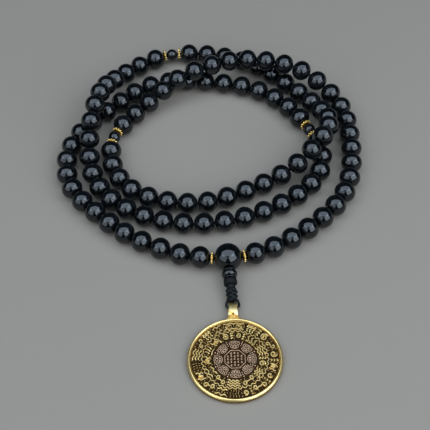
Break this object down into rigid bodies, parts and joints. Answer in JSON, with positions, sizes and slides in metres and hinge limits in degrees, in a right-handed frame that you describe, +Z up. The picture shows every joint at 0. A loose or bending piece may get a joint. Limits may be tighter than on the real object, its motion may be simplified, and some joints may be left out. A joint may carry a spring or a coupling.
{
  "type": "mala prayer beads",
  "caption": "Prayer-bead strand coiled in three turns, with marker and guru beads, a corded tail and a round relief pendant.",
  "frame": {"origin": "under the middle of the whole thing's bounding box, on the table", "axes": "+Z up, +Y from the pendant towards the back of the coil, +X to the right as seen from the pendant"},
  "size_m": [0.125, 0.178, 0.0179],
  "materials": {
    "onyx": "polished",
    "gold": "antiqued",
    "cord": "waxed cord"
  },
  "bodies": {
    "coil": {"beads_q1_4": "onyx", "beads_q1_5": "onyx", "beads_q1_6": "onyx", "beads_q1_7": "onyx", "beads_q1_8": "onyx", "beads_q1_9": "onyx", "beads_q2_1": "onyx", "beads_q2_2": "onyx", "beads_q2_3": "onyx", "beads_q2_4": "onyx", "beads_q2_5": "onyx", "beads_q2_6": "onyx", "beads_q2_7": "onyx", "beads_q2_8": "onyx", "beads_q2_9": "onyx", "beads_q3_1": "onyx", "beads_q3_2": "onyx", "beads_q3_3": "onyx", "beads_q3_4": "onyx", "beads_q3_5": "onyx", "beads_q3_6": "onyx", "beads_q3_7": "onyx", "beads_q3_8": "onyx", "beads_q3_9": "onyx", "beads_q4_1": "onyx", "beads_q4_2": "onyx", "beads_q4_3": "onyx", "beads_q4_4": "onyx", "beads_q4_5": "onyx", "beads_q4_6": "onyx", "string_coil": "cord"},
    "front_strand": {"beads_q1_1": "onyx", "beads_q1_2": "onyx", "beads_q1_3": "onyx", "beads_q4_7": "onyx", "beads_q4_8": "onyx", "beads_q4_9": "onyx", "string_front": "cord"},
    "guru": {"guru_bead": "onyx"},
    "tail": {"tail_wrap": "cord"},
    "tower": {"tower_bead": "onyx"},
    "braid": {"tail_braid": "cord", "tail_loop": "cord"},
    "pendant": {"pendant_disc": "gold", "pendant_bail": "gold"},
    "spacer_m1a_body": {"spacer_m1a": "gold"},
    "marker_1_body": {"marker_1": "onyx"},
    "spacer_m1b_body": {"spacer_m1b": "gold"},
    "spacer_m2a_body": {"spacer_m2a": "gold"},
    "marker_2_body": {"marker_2": "onyx"},
    "spacer_m2b_body": {"spacer_m2b": "gold"},
    "spacer_m3a_body": {"spacer_m3a": "gold"},
    "marker_3_body": {"marker_3": "onyx"},
    "spacer_m3b_body": {"spacer_m3b": "gold"},
    "spacer_guru_right_body": {"spacer_guru_right": "gold"},
    "spacer_guru_left_body": {"spacer_guru_left": "gold"}
  },
  "joints": [
    {"name": "front_lift", "type": "hinge", "parent": "coil", "child": "front_strand", "pos_m": [0.00051, 0.01549, 0.00425], "axis": [-0.9967, -0.0813, 0], "range_deg": [0, 28]},
    {"name": "guru_roll", "type": "hinge", "parent": "front_strand", "child": "guru", "pos_m": [0.00584, -0.03023, 0.00538], "axis": [-0.9995, -0.0313, 0], "range_deg": [0, 65]},
    {"name": "tail_swing", "type": "hinge", "parent": "guru", "child": "tail", "pos_m": [0.00594, -0.03513, 0.00493], "axis": [0, 0, 1], "range_deg": [-14, 14]},
    {"name": "tower_spin", "type": "hinge", "parent": "tail", "child": "tower", "pos_m": [0.0061, -0.03748, 0.00449], "axis": [0.07, -0.9806, -0.1829], "continuous": true},
    {"name": "braid_bend", "type": "hinge", "parent": "tail", "child": "braid", "pos_m": [0.00646, -0.04243, 0.00356], "axis": [-0.9975, -0.0712, 0], "range_deg": [0, 28]},
    {"name": "pendant_swing", "type": "hinge", "parent": "braid", "child": "pendant", "pos_m": [0.00684, -0.05043, 0.00175], "axis": [-1, 0, 0], "range_deg": [0, 80]},
    {"name": "spacer_m1a_spin", "type": "hinge", "parent": "coil", "child": "spacer_m1a_body", "pos_m": [-0.03819, 0.03771, 0.00425], "axis": [-0.4392, -0.8984, 0], "continuous": true},
    {"name": "marker_1_spin", "type": "hinge", "parent": "coil", "child": "marker_1_body", "pos_m": [-0.03932, 0.03473, 0.00425], "axis": [-0.3333, -0.9428, 0], "continuous": true},
    {"name": "spacer_m1b_spin", "type": "hinge", "parent": "coil", "child": "spacer_m1b_body", "pos_m": [-0.04029, 0.0317, 0.00425], "axis": [-0.1741, -0.9847, 0], "continuous": true},
    {"name": "spacer_m2a_spin", "type": "hinge", "parent": "coil", "child": "spacer_m2a_body", "pos_m": [-0.01232, 0.08488, 0.00425], "axis": [-0.9986, -0.0531, 0], "continuous": true},
    {"name": "marker_2_spin", "type": "hinge", "parent": "coil", "child": "marker_2_body", "pos_m": [-0.01548, 0.08448, 0.00425], "axis": [-0.9898, -0.1425, 0], "continuous": true},
    {"name": "spacer_m2b_spin", "type": "hinge", "parent": "coil", "child": "spacer_m2b_body", "pos_m": [-0.01862, 0.08396, 0.00425], "axis": [-0.9673, -0.2535, 0], "continuous": true},
    {"name": "spacer_m3a_spin", "type": "hinge", "parent": "coil", "child": "spacer_m3a_body", "pos_m": [0.04305, 0.03247, 0.00425], "axis": [-0.344, 0.939, 0], "continuous": true},
    {"name": "marker_3_spin", "type": "hinge", "parent": "coil", "child": "marker_3_body", "pos_m": [0.04185, 0.03542, 0.00425], "axis": [-0.3868, 0.9221, 0], "continuous": true},
    {"name": "spacer_m3b_spin", "type": "hinge", "parent": "coil", "child": "spacer_m3b_body", "pos_m": [0.04059, 0.03835, 0.00425], "axis": [-0.4303, 0.9027, 0], "continuous": true},
    {"name": "spacer_guru_right_spin", "type": "hinge", "parent": "front_strand", "child": "spacer_guru_right_body", "pos_m": [0.0118, -0.02993, 0.00535], "axis": [0.9744, 0.2193, -0.0505], "continuous": true},
    {"name": "spacer_guru_left_spin", "type": "hinge", "parent": "front_strand", "child": "spacer_guru_left_body", "pos_m": [-0.00014, -0.03033, 0.00534], "axis": [0.9909, -0.1234, 0.0534], "continuous": true}
  ]
}
